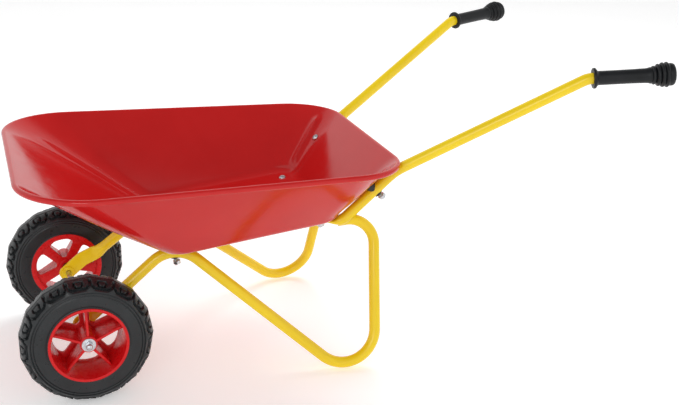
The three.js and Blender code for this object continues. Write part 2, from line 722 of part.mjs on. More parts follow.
for (const sideName of Object.keys(SIDES)) {
  const sideways = SIDES[sideName];
  const undercarriage = undercarriageRoute(sideways);
  const handle = handleRoute(sideways);
  const aroundHandle = solid(bentRod(handle, TUBE_RADIUS + GAP));
  let undercarriageTube = solid(bentTube(undercarriage, undercarriageEnds)).subtract(aroundHandle);
  let handleTube = solid(bentTube(handle, handleEnds));
  const down = floorNormal.clone().negate();

  // Front bolt: head on the floor, spacer, tube, saddle and nut.
  const frontSeat = vec(FRONT_BOLT.x, sideways * FRONT_BOLT.y, floorHeight(FRONT_BOLT.x));
  const frontTubeAt = SHEET + GAP + SADDLE_CROWN + GAP + TUBE_RADIUS;
  // Wall bolt: where the handle tube runs along the rear wall.
  const wallRun = handle[4];
  const alongWall = (WALL_BOLT_X - wallRun.v1.x) / (wallRun.v2.x - wallRun.v1.x);
  const wallPoint = wallRun.getPoint(alongWall);
  const wallDown = wallRun.getTangent(0).cross(ACROSS).normalize();
  if (wallDown.z > 0) wallDown.negate();
  const wallSeat = meetsSheet(shellGeometry, wallPoint.clone().addScaledVector(wallDown, -60), wallDown);
  const wallTubeAt = wallSeat.distanceTo(wallPoint);

  // Rear bolt: head on the floor, pressed tab, washer and nut.
  const rearSeat = vec(REAR_BOLT_X, sideways * handleY(REAR_BOLT_X), floorHeight(REAR_BOLT_X));

  const stacks = [
    { place: "front", seat: frontSeat, down, tubeAt: frontTubeAt, sheetEnd: SHEET, headGap: 0 },
    { place: "wall", seat: wallSeat, down: wallDown, tubeAt: wallTubeAt, sheetEnd: SHEET + 0.6, headGap: 0.6 },
  ];
  for (const { place, seat, down: axis, tubeAt, sheetEnd, headGap } of stacks) {
    const curves = place === "front" ? undercarriage : handle;
    const rod = solid(bentRod(curves, TUBE_RADIUS + GAP));
    const prefix = `${sideName}_${place}`;
    const saddleEnd = tubeAt + TUBE_RADIUS + GAP + SADDLE_CROWN;
    const nutAt = saddleEnd + GAP;
    const tip = nutAt + NUT.height + 2;
    const spacer = saddle(seat, axis, sheetEnd + GAP, tubeAt - 3, 7.5, [rod]);
    const lower = saddle(seat, axis, tubeAt + 4, saddleEnd, 6.6, [rod]);
    wheelbarrow.add(named(`${prefix}_spacer`, spacer, blackPlastic()));
    wheelbarrow.add(named(`${prefix}_saddle`, lower, blackPlastic()));
    const bolt = named(`${prefix}_bolt`, boltGeometry(tip + headGap + GAP), zincPlate());
    bolt.applyMatrix4(standing(seat.clone().addScaledVector(axis, -headGap - GAP), axis));
    const nut = named(`${prefix}_nut`, nutGeometry(NUT, BOLT_RADIUS + GAP), zincPlate());
    nut.applyMatrix4(standing(seat.clone().addScaledVector(axis, nutAt), axis));
    wheelbarrow.add(bolt, nut);
    const hole = solid(pin(seat, axis, -5, tip + 5, BOLT_RADIUS + GAP, 12));
    tray = tray.subtract(hole);
    if (place === "front") undercarriageTube = undercarriageTube.subtract(hole);
    else handleTube = handleTube.subtract(hole);
  }

  const washerAt = SHEET + GAP + 2 * FLAT_HALF_THICKNESS + GAP;
  const rearNutAt = washerAt + 1.5 + GAP;
  const rearTip = rearNutAt + NUT.height + 2;
  const rearHole = solid(pin(rearSeat, down, -5, rearTip + 5, BOLT_RADIUS + GAP, 12));
  tray = tray.subtract(rearHole);
  handleTube = handleTube.subtract(rearHole);
  const axleHole = pin(vec(0, sideways * EYE_Y, WHEEL_RADIUS), ACROSS, -5, 5, AXLE_RADIUS + GAP, 16);
  undercarriageTube = undercarriageTube.subtract(solid(axleHole));
  const rearBolt = named(`${sideName}_rear_bolt`, boltGeometry(rearTip + GAP), zincPlate());
  rearBolt.applyMatrix4(standing(rearSeat.clone().addScaledVector(down, -GAP), down));
  const rearWasher = named(
    `${sideName}_rear_washer`, washerGeometry(BOLT_RADIUS + GAP, 6.5, 1.5, 16), zincPlate());
  rearWasher.applyMatrix4(standing(rearSeat.clone().addScaledVector(down, washerAt), down));
  const rearNut = named(`${sideName}_rear_nut`, nutGeometry(NUT, BOLT_RADIUS + GAP), zincPlate());
  rearNut.applyMatrix4(standing(rearSeat.clone().addScaledVector(down, rearNutAt), down));
  wheelbarrow.add(rearBolt, rearWasher, rearNut);

  // Grip, pushed over the handle tube's end.
  const gripRun = handle[0];
  const intoTube = gripRun.getTangent(0);
  const gripEnd = gripRun.getPoint(0).addScaledVector(intoTube, -15);
  const gripStart = gripEnd.clone().addScaledVector(intoTube, GRIP.length);
  const boreDepth = GRIP.length - 15 + GAP;
  const grip = named(`${sideName}_grip`, gripGeometry(boreDepth), gripRubber());
  grip.applyMatrix4(standing(gripStart, intoTube.clone().negate()));

  wheelbarrow.add(named(`${sideName}_undercarriage_tube`, surface(undercarriageTube), yellowPaint()));
  wheelbarrow.add(named(`${sideName}_handle_tube`, surface(handleTube), yellowPaint()));
  wheelbarrow.add(grip, wheel(sideName), axlePieces(sideName));
}

wheelbarrow.add(named("tray", surface(tray), redPaint()));
const axle = named("axle", axleGeometry(), zincPlate());
axle.position.z = WHEEL_RADIUS;
wheelbarrow.add(axle);

// The origin goes to the middle of the ground under the whole object.
const box = new THREE.Box3().setFromObject(wheelbarrow);
const centre = box.getCenter(vec(0, 0, 0));
wheelbarrow.position.set(-centre.x, -centre.y, -box.min.z);

export default wheelbarrow;
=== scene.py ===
"""Looks for the child-size wheelbarrow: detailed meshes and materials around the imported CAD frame.

The shapes are worked out in millimetres, with x = 0 at the axle and z = 0 on the ground, as the CAD part has
them, and are moved into the frame when their meshes are made.
"""

import math

import bmesh
import bpy
import numpy as np
from mathutils import Matrix, Vector
from mathutils.bvhtree import BVHTree


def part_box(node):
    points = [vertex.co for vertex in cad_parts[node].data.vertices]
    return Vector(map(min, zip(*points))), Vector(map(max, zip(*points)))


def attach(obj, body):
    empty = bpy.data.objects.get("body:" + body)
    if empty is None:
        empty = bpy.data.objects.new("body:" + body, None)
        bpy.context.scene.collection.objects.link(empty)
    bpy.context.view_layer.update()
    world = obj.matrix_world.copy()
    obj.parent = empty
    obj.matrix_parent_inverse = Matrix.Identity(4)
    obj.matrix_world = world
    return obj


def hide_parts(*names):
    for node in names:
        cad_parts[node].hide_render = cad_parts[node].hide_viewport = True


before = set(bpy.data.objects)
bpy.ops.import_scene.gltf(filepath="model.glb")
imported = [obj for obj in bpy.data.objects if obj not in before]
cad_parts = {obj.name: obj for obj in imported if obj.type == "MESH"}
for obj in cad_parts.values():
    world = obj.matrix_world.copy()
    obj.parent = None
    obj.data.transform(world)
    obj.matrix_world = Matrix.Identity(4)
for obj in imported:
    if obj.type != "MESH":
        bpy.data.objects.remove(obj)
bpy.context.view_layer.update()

SIDES = {"left": -1, "right": 1}

# ---- Driving dimensions, in millimetres --------------------------------------------------------------------


def node_centre(node):
    """The middle of a CAD node, in millimetres of the frame."""
    low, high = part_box(node)
    return (np.array(low) + np.array(high)) * 500


AXLE = node_centre("axle")
AXLE_X = float(AXLE[0])  # of the frame, where this file has x = 0
WHEEL_RADIUS = float(AXLE[2])
WHEEL_OFFSET = float(node_centre("right_tyre")[1])

TUBE_RADIUS = 8.0
FLAT_HALF_WIDTH = 11.3  # of a tube's pressed end
FLAT_HALF_THICKNESS = 2.0
SHEET = 1.2
GAP = 0.3  # between pieces that touch
BEAD_RADIUS = 4.2  # of the curled rim
TUBE_DROP = SHEET + GAP + TUBE_RADIUS
TAB_DROP = SHEET + GAP + FLAT_HALF_THICKNESS

FLOOR = dict(front=118, rear=365, half_front=127, half_rear=124, radius_front=30, radius_rear=25)
RIM = dict(front=-79.5, rear=453, half_front=227.7, half_rear=201.3, radius_front=100, radius_rear=85)


FLOOR_SLOPE = 0.105  # rise of the tray's floor towards the handles
FLOOR_X, FLOOR_Z = 136, 187.5  # a point on that slope
FLOOR_NORMAL = np.array([-FLOOR_SLOPE, 0, 1]) / math.hypot(FLOOR_SLOPE, 1)
RIM_Z, RIM_FALL = 311.8, 0.0207  # the rim's height over the axle, and its fall towards the handles
HANDLE_SPLAY, HANDLES_MEET_X = 0.377, 87.8  # the handle tubes' lines spread from one point


def floor_height(x):
    return FLOOR_Z + FLOOR_SLOPE * (x - FLOOR_X)


def rim_height(x):
    return RIM_Z - RIM_FALL * x


def handle_y(x):
    return HANDLE_SPLAY * (x - HANDLES_MEET_X)


# ---- Mesh helpers ------------------------------------------------------------------------------------------


def unit(v):
    return v / np.linalg.norm(v, axis=-1, keepdims=True)


def smoothstep(low, high, value):
    t = np.clip((value - low) / (high - low), 0, 1)
    return t * t * (3 - 2 * t)


def grid_faces(rows, columns, wrap_rows=False):
    """Quads over a grid of vertices that is listed row by row. Each row closes on itself."""
    faces = []
    for r in range(rows if wrap_rows else rows - 1):
        below, above = r * columns, ((r + 1) % rows) * columns
        for c in range(columns):
            n = (c + 1) % columns
            faces.append((below + c, below + n, above + n, above + c))
    return faces


class Shape:
    """Vertices and faces of one or more closed shells, in millimetres."""

    def __init__(self):
        self.points, self.faces = [], []

    def add(self, points, faces):
        start = len(self.points)
        self.points.extend(np.asarray(points, float).reshape(-1, 3).tolist())
        self.faces.extend(tuple(start + i for i in face) for face in faces)
        return self

    def grid(self, points, wrap_rows=False):
        rows, columns = points.shape[:2]
        return self.add(points, grid_faces(rows, columns, wrap_rows))

    def capped_grid(self, points):
        """A grid whose first and last rows are closed by a flat face."""
        rows, columns = points.shape[:2]
        faces = grid_faces(rows, columns)
        faces.append(tuple(reversed(range(columns))))
        faces.append(tuple((rows - 1) * columns + c for c in range(columns)))
        return self.add(points, faces)

    def moved(self, matrix):
        points = np.array(self.points)
        points = points @ np.array(matrix)[:3, :3].T + np.array(matrix)[:3, 3]
        self.points = points.tolist()
        return self


def make_piece(name, shape, body, material, replaces=(), sharp=35):
    """A mesh object of a shape, riding on a body and standing for CAD nodes."""
    mesh = bpy.data.meshes.new(name)
    points = (np.array(shape.points) + [AXLE_X, 0, 0]) / 1000
    mesh.from_pydata(points.tolist(), [], shape.faces)
    cleaned = bmesh.new()
    cleaned.from_mesh(mesh)
    bmesh.ops.remove_doubles(cleaned, verts=cleaned.verts, dist=2e-6)
    bmesh.ops.dissolve_degenerate(cleaned, edges=cleaned.edges, dist=1e-7)
    bmesh.ops.recalc_face_normals(cleaned, faces=cleaned.faces)
    cleaned.to_mesh(mesh)
    cleaned.free()
    mesh.shade_smooth()
    mesh.set_sharp_from_angle(angle=math.radians(sharp))
    mesh.materials.append(material)
    piece = bpy.data.objects.new(name, mesh)
    bpy.context.scene.collection.objects.link(piece)
    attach(piece, body)
    if replaces:
        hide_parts(*replaces)
    return piece


def full_turn(steps):
    return np.arange(steps) * 2 * math.pi / steps


def about_y(angle, radius, height):
    """Points at angles about +Y."""
    return np.stack([radius * np.cos(angle), height + 0 * angle, -radius * np.sin(angle)], axis=-1)


def revolved(profile, segments=48):
    """A grid of revolution about +Y, from (radius, height) pairs."""
    profile = np.array(profile, float)
    return about_y(full_turn(segments), profile[:, 0:1], profile[:, 1:2])


def revolve(profile, segments=48, closed=False):
    """A revolved profile as a shape. A closed profile joins its last point to its first."""
    return Shape().grid(revolved(profile, segments), wrap_rows=closed)


def rounded(corners, radius, steps=4, closed=False):
    """A flat outline with each of its corners cut to a small arc."""
    corners = [np.array(c, float) for c in corners]
    count = len(corners)
    out = []
    for i, corner in enumerate(corners):
        if not closed and i in (0, count - 1):
            out.append(corner)
            continue
        before, after = corners[i - 1] - corner, corners[(i + 1) % count] - corner
        reach = min(radius, 0.45 * np.linalg.norm(before), 0.45 * np.linalg.norm(after))
        a, b = corner + unit(before) * reach, corner + unit(after) * reach
        for t in np.linspace(0, 1, steps + 1):
            out.append((1 - t) ** 2 * a + 2 * t * (1 - t) * corner + t * t * b)
    return np.array(out)


def standing(origin, direction):
    """The turn that carries +Y onto a direction, with an origin."""
    turn = Vector((0, 1, 0)).rotation_difference(Vector(direction)).to_matrix().to_4x4()
    return Matrix.Translation(Vector(origin)) @ turn


# ---- Materials ---------------------------------------------------------------------------------------------


class Look:
    """A procedural material: colour and roughness that vary a little, and a fine bump."""

    def __init__(self, name, roughness, metallic=0.0, **constants):
        self.material = bpy.data.materials.new(name)
        self.material.use_nodes = True
        self.tree = self.material.node_tree
        self.shader = self.tree.nodes["Principled BSDF"]
        self.shader.inputs["Roughness"].default_value = roughness
        self.shader.inputs["Metallic"].default_value = metallic
        for socket, value in constants.items():
            self.shader.inputs[socket.replace("_", " ")].default_value = value
        self.place = self.tree.nodes.new("ShaderNodeTexCoord").outputs["Object"]

    def noise(self, scale, detail):
        node = self.tree.nodes.new("ShaderNodeTexNoise")
        node.inputs["Scale"].default_value = scale
        node.inputs["Detail"].default_value = detail
        self.tree.links.new(self.place, node.inputs["Vector"])
        return node.outputs["Fac"]

    def ramp(self, factor, stops):
        node = self.tree.nodes.new("ShaderNodeValToRGB")
        elements = node.color_ramp.elements
        while len(elements) < len(stops):
            elements.new(0.5)
        for element, (position, colour) in zip(elements, stops):
            element.position = position
            element.color = (*colour, 1)
        self.tree.links.new(factor, node.inputs["Fac"])
        return node.outputs["Color"]

    def spread(self, factor, low, high):
        """The middle of a noise's range, spread from a low to a high value."""
        node = self.tree.nodes.new("ShaderNodeMapRange")
        node.inputs["From Min"].default_value = 0.3
        node.inputs["From Max"].default_value = 0.7
        node.inputs["To Min"].default_value = low
        node.inputs["To Max"].default_value = high
        self.tree.links.new(factor, node.inputs["Value"])
        return node.outputs["Result"]

    def colour(self, output):
        self.tree.links.new(output, self.shader.inputs["Base Color"])

    def roughness(self, output):
        self.tree.links.new(output, self.shader.inputs["Roughness"])

    def bump(self, *layers):
        """Layers of (height output, distance in metres), one on top of the other."""
        normal = None
        for height, distance in layers:
            node = self.tree.nodes.new("ShaderNodeBump")
            node.inputs["Strength"].default_value = 1.0
            node.inputs["Distance"].default_value = distance
            self.tree.links.new(height, node.inputs["Height"])
            if normal:
                self.tree.links.new(normal, node.inputs["Normal"])
            normal = node.outputs["Normal"]
        self.tree.links.new(normal, self.shader.inputs["Normal"])


def paint(name, dark, light, roughness, specular):
    look = Look(name, roughness, Specular_IOR_Level=specular)
    patches = look.noise(14, 4)
    look.colour(look.ramp(patches, [(0.3, dark), (0.7, light)]))
    look.roughness(look.spread(look.noise(60, 5), roughness - 0.03, roughness + 0.05))
    look.bump((look.noise(900, 2), 0.000006), (look.noise(45, 2), 0.00004))
    return look.material


def moulded(name, dark, light, roughness, grain=1500, depth=0.00003, specular=0.5):
    look = Look(name, roughness, Specular_IOR_Level=specular)
    look.colour(look.ramp(look.noise(35, 4), [(0.3, dark), (0.7, light)]))
    look.roughness(look.spread(look.noise(120, 5), roughness - 0.08, roughness + 0.1))
    look.bump((look.noise(grain, 3), depth))
    return look.material


def plated(name):
    look = Look(name, 0.25, metallic=1.0)
    look.colour(look.ramp(look.noise(400, 3), [(0.3, (0.50, 0.52, 0.55)), (0.7, (0.72, 0.73, 0.75))]))
    look.roughness(look.spread(look.noise(700, 4), 0.16, 0.36))
    look.bump((look.noise(2500, 3), 0.00001))
    return look.material


RED_PAINT = paint("red_paint", (0.50, 0.008, 0.008), (0.54, 0.010, 0.010), 0.12, 0.36)
YELLOW_PAINT = paint("yellow_paint", (0.80, 0.57, 0.008), (0.85, 0.62, 0.011), 0.16, 0.4)
RED_PLASTIC = moulded("red_plastic", (0.58, 0.006, 0.008), (0.64, 0.008, 0.010), 0.28, specular=0.3)
TYRE_RUBBER = moulded("tyre_rubber", (0.011, 0.013, 0.014), (0.017, 0.020, 0.022), 0.32, 1100, specular=0.4)
GRIP_RUBBER = moulded("grip_rubber", (0.006, 0.007, 0.008), (0.010, 0.011, 0.013), 0.42, 1400, specular=0.25)
BLACK_PLASTIC = moulded("black_plastic", (0.006, 0.006, 0.006), (0.012, 0.012, 0.012), 0.4)
ZINC = plated("zinc")

# ---- Tray --------------------------------------------------------------------------------------------------

CORNER_STEPS, SIDE_STEPS, END_STEPS = 28, 40, 24
WALL_ROWS, FOLD_ROWS, FLOOR_ROWS, CURL_ROWS = 36, 8, 10, 20
FOLD_REACH = 9.0  # of the fold between floor and wall, each way
CORNER_POWER = 2.0  # keeps the wall's corners tight for longer than a straight rise would
REAR_ROUNDER = 16.0  # extra radius at mid height in the rear corners
CURL_SWEEP = math.radians(290)
CRESTED_LIFT, SOFT_LIFT = 4.6, 1.5  # of the rear and front corner beads
BEAD_REACH = 60.0  # no bead lifts the wall farther than this from its middle line


def outline(front, rear, half_front, half_rear, radius_front, radius_rear):
    """Points around a round-cornered outline from its front left corner, with the outward directions."""
    left, right = [[front, -half_front], [rear, -half_rear]], [[rear, half_rear], [front, half_front]]
    corners = np.array(left + right, float)
    radii = [radius_front, radius_rear, radius_rear, radius_front]
    arcs = []
    for i in range(4):
        corner = corners[i]
        incoming = unit(corner - corners[i - 1])
        outgoing = unit(corners[(i + 1) % 4] - corner)
        turn = math.acos(float(np.dot(incoming, outgoing)))
        inward = unit(outgoing - incoming * math.cos(turn))
        start = corner - incoming * radii[i] * math.tan(turn / 2)
        angle = np.arange(CORNER_STEPS + 1)[:, None] / CORNER_STEPS * turn
        points = start + radii[i] * (incoming * np.sin(angle) + inward * (1 - np.cos(angle)))
        ahead = incoming * np.cos(angle) + inward * np.sin(angle)
        arcs.append((points, ahead))
    points, ahead = [], []
    for i, (arc, directions) in enumerate(arcs):
        steps = SIDE_STEPS if i % 2 == 0 else END_STEPS
        run = np.arange(1, steps)[:, None] / steps
        following = arcs[(i + 1) % 4][0][0]
        points += [arc, arc[-1] + run * (following - arc[-1])]
        ahead += [directions, np.repeat(directions[-1:], steps - 1, axis=0)]
    points, ahead = np.concatenate(points), np.concatenate(ahead)
    outward = np.stack([ahead[:, 1], -ahead[:, 0]], axis=-1)
    return points, outward


def level_outline(t, power, rounder=0.0):
    """The wall's outline at a fraction of its height. A higher power keeps the corners tight for longer."""
    inset = 1.8 * BEAD_RADIUS
    top = dict(
        front=RIM["front"] + inset,
        rear=RIM["rear"] - inset,
        half_front=RIM["half_front"] - inset,
        half_rear=RIM["half_rear"] - inset,
        radius_front=RIM["radius_front"] - inset,
        radius_rear=RIM["radius_rear"] - inset,
    )
    mixed = {key: FLOOR[key] + (top[key] - FLOOR[key]) * t for key in FLOOR}
    for key in ("radius_front", "radius_rear"):
        mixed[key] = FLOOR[key] + (top[key] - FLOOR[key]) * t**power
    mixed["radius_rear"] += rounder * (1 - (2 * t - 1) ** 4)
    return outline(**mixed)[0]


def flat3(points, z=0.0):
    return np.column_stack([points, np.broadcast_to(z, len(points))])


def tray_wall():
    """Inner skin from the floor's edge to the top of the wall, and the bead's centres and start angles."""
    foot, _ = outline(**FLOOR)
    foot = flat3(foot, floor_height(foot[:, 0]))
    rim, outward = outline(**RIM)
    bead = rim - outward * BEAD_RADIUS
    bead = flat3(bead, rim_height(bead[:, 0]) - BEAD_RADIUS)
    outward = flat3(outward)
    ahead = np.column_stack([-outward[:, 1], outward[:, 0], np.zeros(len(outward))])
    top = bead
    for _ in range(3):
        facing = unit(np.cross(top - foot, ahead))
        top = bead + facing * BEAD_RADIUS
    levels = np.linspace(0, 1, WALL_ROWS)
    rows = []
    for t in levels:
        straight = foot + (top - foot) * t
        shift = level_outline(t, CORNER_POWER, REAR_ROUNDER) - level_outline(t, 1.0)
        rows.append(straight + flat3(shift))
    return np.array(rows), foot, bead, outward, facing


def skin_normals(grid):
    """Unit normals, towards the inside of the tray, of a grid whose rows close on themselves."""
    along = np.roll(grid, -1, axis=1) - np.roll(grid, 1, axis=1)
    up = np.gradient(grid, axis=0)
    return unit(np.cross(up, along))


def soft_bead(distance, half_width):
    """Cross-section of the wide, shallow fold in a front corner."""
    return smoothstep(half_width, 0, np.abs(distance)) - 0.3 * smoothstep(3.5, 0, np.abs(distance))


def crested_bead(distance):
    """Cross-section of a rear corner's bead: a broad flank towards the side wall, a crest, a short flank."""
    flank = np.clip(np.where(distance < 0, 1 + distance / 12.5, 1 - distance / 6.5), 0, 1)
    return flank**1.3


def pressed_beads(wall):
    """How far the stamped beads lift the wall, at each point of its grid."""
    rows, columns = wall.shape[:2]
    t = np.linspace(0, 1, rows)[:, None]
    lift = np.zeros((rows, columns))
    block = CORNER_STEPS + 1
    starts = [0, block + SIDE_STEPS - 1]
    starts.append(starts[1] + block + END_STEPS - 1)
    starts.append(starts[2] + block + SIDE_STEPS - 1)
    for i, start in enumerate(starts):
        rear = i in (1, 2)
        towards = 1 if i in (1, 3) else -1  # along the outline, from the side wall to the end wall
        shift = 0.14 if rear else 0.2
        middle = int(round(start + CORNER_STEPS / 2 + towards * shift * CORNER_STEPS))
        ridge = wall[:, middle % columns]
        chord = unit(wall[:, (middle + 2) % columns] - wall[:, (middle - 2) % columns]) * towards
        distance = np.einsum("rcx,rx->rc", wall - ridge[:, None], chord)
        near = np.linalg.norm(wall - ridge[:, None], axis=-1) < BEAD_REACH
        low, high = (0.16, 0.86) if rear else (0.06, 0.8)
        ends = smoothstep(low - 0.05, low + 0.05, t) * smoothstep(high + 0.05, high - 0.05, t)
        soft, crested = SOFT_LIFT * soft_bead(distance, 8 + 8 * t), CRESTED_LIFT * crested_bead(distance)
        lift += near * ends * (crested if rear else soft)
    return lift


def tray_shape():
    wall, foot, bead, outward, facing = tray_wall()
    lift = pressed_beads(wall)
    middle = np.array([(FLOOR["front"] + FLOOR["rear"]) / 2, 0, 0])
    middle[2] = floor_height(middle[0])
    # The fold between floor and wall, and the floor inside it.
    inward = unit(middle - foot)
    upward = unit(wall[6] - wall[0])
    on_floor, on_wall = foot + inward * FOLD_REACH, foot + upward * FOLD_REACH
    fold = [
        (1 - t) ** 2 * on_floor + 2 * t * (1 - t) * foot + t * t * on_wall
        for t in np.linspace(0, 1, FOLD_ROWS)
    ]
    floor = [middle + (on_floor - middle) * t for t in np.linspace(0, 1, FLOOR_ROWS)[:-1]]
    first = 1 + int(np.ceil(FOLD_REACH / np.linalg.norm(wall[1] - wall[0], axis=-1).max()))
    inner = np.array([*floor, *fold, *wall[first:]])
    normals = skin_normals(inner)
    normals[: len(floor)] = FLOOR_NORMAL  # its grid shrinks to a point, which has no normal of its own
    raised = np.zeros(inner.shape[:2])
    raised[len(floor) + len(fold) :] = lift[first:]
    inner = inner + normals * raised[..., None]
    outer = inner - normals * SHEET
    # The curled rim: the sheet rolls outwards and down, and its edge stops short of the wall.
    start = np.arctan2(facing[:, 2], np.einsum("ij,ij->i", facing, outward))
    sweep = CURL_SWEEP * np.arange(1, CURL_ROWS + 1) / CURL_ROWS
    angle = start[None, :] - sweep[:, None]

    def curl(radius):
        side = outward[None] * np.cos(angle)[..., None]
        rise = np.array([0, 0, 1.0]) * np.sin(angle)[..., None]
        return bead[None] + radius * (side + rise)

    skin = np.concatenate([inner, curl(BEAD_RADIUS), curl(BEAD_RADIUS - SHEET)[::-1], outer[::-1]])
    return Shape().grid(skin)


TRAY = make_piece("tray_shell", tray_shape(), "frame", RED_PAINT, ["tray"], sharp=50)

# ---- Bent tubes --------------------------------------------------------------------------------------------

UNDERCARRIAGE_BENDS = [9, 9, 48, 48, 36]
UNDERCARRIAGE_FLAT, UNDERCARRIAGE_ROUND = 60, 86  # how far the pressed end is flat, and where it is round
HANDLE_BENDS = [34, 80, 22, 10]
HANDLE_FLAT, HANDLE_ROUND = 27, 47


def tube_path(corners, radii, bend_step=0.08, straight_step=6.0):
    """Points along a route of straight runs and bends, with their directions."""
    corners = [np.array(c, float) for c in corners]
    points = []
    start = corners[0]
    for i, radius in enumerate(radii):
        before, corner, after = corners[i : i + 3]
        incoming, outgoing = unit(corner - before), unit(after - corner)
        turn = math.acos(float(np.clip(np.dot(incoming, outgoing), -1, 1)))
        inward = unit(outgoing - incoming * math.cos(turn))
        setback = radius * math.tan(turn / 2)
        bend_start = corner - incoming * setback
        steps = max(1, int(np.linalg.norm(bend_start - start) / straight_step))
        points += [start + (bend_start - start) * t for t in np.arange(steps) / steps]
        steps = max(3, int(turn / bend_step))
        for t in np.arange(steps) / steps * turn:
            points.append(bend_start + radius * (incoming * math.sin(t) + inward * (1 - math.cos(t))))
        start = corner + outgoing * setback
    steps = max(1, int(np.linalg.norm(corners[-1] - start) / straight_step))
    points += [start + (corners[-1] - start) * t for t in np.arange(steps + 1) / steps]
    points = np.array(points)
    ahead = np.gradient(points, axis=0)
    return points, unit(ahead)


def sideways_frames(ahead, first):
    """A sideways direction at each point that turns no more than the route does."""
    side = np.array(first, float)
    frames = []
    for direction in ahead:
        side = unit(side - direction * np.dot(side, direction))
        frames.append(side)
    side = np.array(frames)
    return side, np.cross(ahead, side)


def refined(points, ahead, from_end, reach, step):
    """Extra points near one end of a route, so that a pressed end can be shaped."""
    travelled = np.concatenate([[0], np.cumsum(np.linalg.norm(np.diff(points, axis=0), axis=1))])
    total = travelled[-1]
    near = np.arange(0, reach, step)
    near = total - near if from_end else near
    marks = np.unique(np.concatenate([travelled, near]).round(3))
    keep = [marks[0]]
    for mark in marks[1:]:
        if mark - keep[-1] > 0.4 * step:
            keep.append(mark)
    keep[-1] = marks[-1]
    place = np.stack([np.interp(keep, travelled, points[:, k]) for k in range(3)], axis=-1)
    heading = np.stack([np.interp(keep, travelled, ahead[:, k]) for k in range(3)], axis=-1)
    return place, unit(heading), np.array(keep)


def swept_tube(corners, radii, press, from_end, flat, round_at, sides=36):
    """A tube along a route, with one end pressed flat and rounded off."""
    points, ahead = tube_path(corners, radii)
    points, ahead, travelled = refined(points, ahead, from_end, round_at + 10, 1.2)
    side, other = sideways_frames(ahead, (0, 1, 0))
    distance = travelled[-1] - travelled if from_end else travelled
    flatness = (1 - smoothstep(flat, round_at, distance))[:, None]
    towards = np.arctan2(other @ press, side @ press)[:, None]
    angle = full_turn(sides)[None, :]
    along, across = np.cos(angle - towards), np.sin(angle - towards)
    thin = np.sign(along) * np.abs(along) ** 0.28 * FLAT_HALF_THICKNESS
    wide = np.sign(across) * np.abs(across) ** 0.9 * FLAT_HALF_WIDTH
    end = np.clip(1 - distance / FLAT_HALF_WIDTH, 0, 1)[:, None]
    wide = wide * np.sqrt(np.clip(1 - end**2, 0.0004, 1))
    up = TUBE_RADIUS * along * (1 - flatness) + thin * flatness
    out = TUBE_RADIUS * across * (1 - flatness) + wide * flatness
    s = up * np.cos(towards) - out * np.sin(towards)
    o = up * np.sin(towards) + out * np.cos(towards)
    rings = points[:, None] + side[:, None] * s[..., None] + other[:, None] * o[..., None]
    return Shape().capped_grid(rings)


def undercarriage_corners(sideways):
    """From the eye on the axle over the arm, down to the foot, up the leg and in to the handle tube."""
    corners = [
        (-11, 93, 81.8),
        (22, 93, 109),
        (47, 89, 121),
        (135.5, 80, 190.5),
        (401.3, 194.8, -40.6),
        (425.8, 106.2, floor_height(425.8) - TUBE_DROP),
        (372, 100.3, floor_height(372) - TUBE_DROP),
    ]
    return np.array(corners) * [1, sideways, 1]


def handle_corners(sideways):
    """From the grip's end along the handle, down the tray's rear wall, and under its floor."""
    corners = [
        (789.6, 260.9, 429.9),
        (690.8, handle_y(690.8), 423),
        (445.7, handle_y(445.7), 283.4),
        (372.8, handle_y(372.8), floor_height(372.8) - TUBE_DROP),
        (358, handle_y(358), floor_height(358) - TAB_DROP),
        (333, handle_y(333), floor_height(333) - TAB_DROP),
    ]
    return np.array(corners) * [1, sideways, 1]


def make_tubes(name, sideways):
    across, up = np.array([0, 1.0, 0]), np.array([0, 0, 1.0])
    corners, pressed = undercarriage_corners(sideways), (UNDERCARRIAGE_FLAT, UNDERCARRIAGE_ROUND)
    under = swept_tube(corners, UNDERCARRIAGE_BENDS, across, False, *pressed)
    node = f"{name}_undercarriage_tube"
    make_piece(f"{name}_leg_and_arm", under, "frame", YELLOW_PAINT, [node])
    handle = swept_tube(handle_corners(sideways), HANDLE_BENDS, up, True, HANDLE_FLAT, HANDLE_ROUND)
    make_piece(f"{name}_handle", handle, "frame", YELLOW_PAINT, [f"{name}_handle_tube"])


# ---- Grips -------------------------------------------------------------------------------------------------

GRIP_LENGTH = 113
GRIP_PAST_TUBE = 15


def grip_profile():
    """(radius, distance) pairs from the bore's mouth over the flange, sleeve and ribbed bulb to the end."""
    points = [(8.3, 14), (8.3, 0), (13.8, 0), (14.4, 1.2), (14.4, 3.0), (13.4, 4.2), (11.2, 5.6)]
    points += [(10.0, 7.2), (9.9, 9), (9.8, 30), (9.9, 55), (10.2, 72), (10.6, 76), (11.6, 79)]
    for crest, at in [(13.0, 83.2), (15.4, 89.3), (17.0, 95.2), (17.5, 101.1)]:
        root = crest - 2.3
        for d in np.linspace(-2.7, 2.7, 9):
            points.append((root + (crest - root) * math.cos(d / 2.7 * math.pi / 2) ** 0.7, at + d))
    points += [(15.0, 104.6), (15.6, 105.6), (15.7, 107), (15.4, 109), (14.4, 111), (12, 112.2)]
    return [*points, (6, 112.8), (0, GRIP_LENGTH)]


def make_grip(name, sideways):
    corners = handle_corners(sideways)
    into = unit(corners[1] - corners[0])
    end = corners[0] - into * GRIP_PAST_TUBE
    start = end + into * GRIP_LENGTH
    grip = revolve(grip_profile(), 64).moved(standing(start, -into))
    make_piece(f"{name}_grip_cover", grip, "frame", GRIP_RUBBER, [f"{name}_grip"], sharp=60)


# ---- Wheels ------------------------------------------------------------------------------------------------

TREAD_PERIODS = 17
PERIOD = 2 * math.pi * WHEEL_RADIUS / TREAD_PERIODS
STEPS_PER_PERIOD = 44
TREAD_DEPTH = 4.0
RING_GROOVE, ZIGZAG_GROOVE, STUB_GROOVE = 2.5, 2.8, 4.0  # widths of the tread's grooves
TYRE_HALF = 25.5


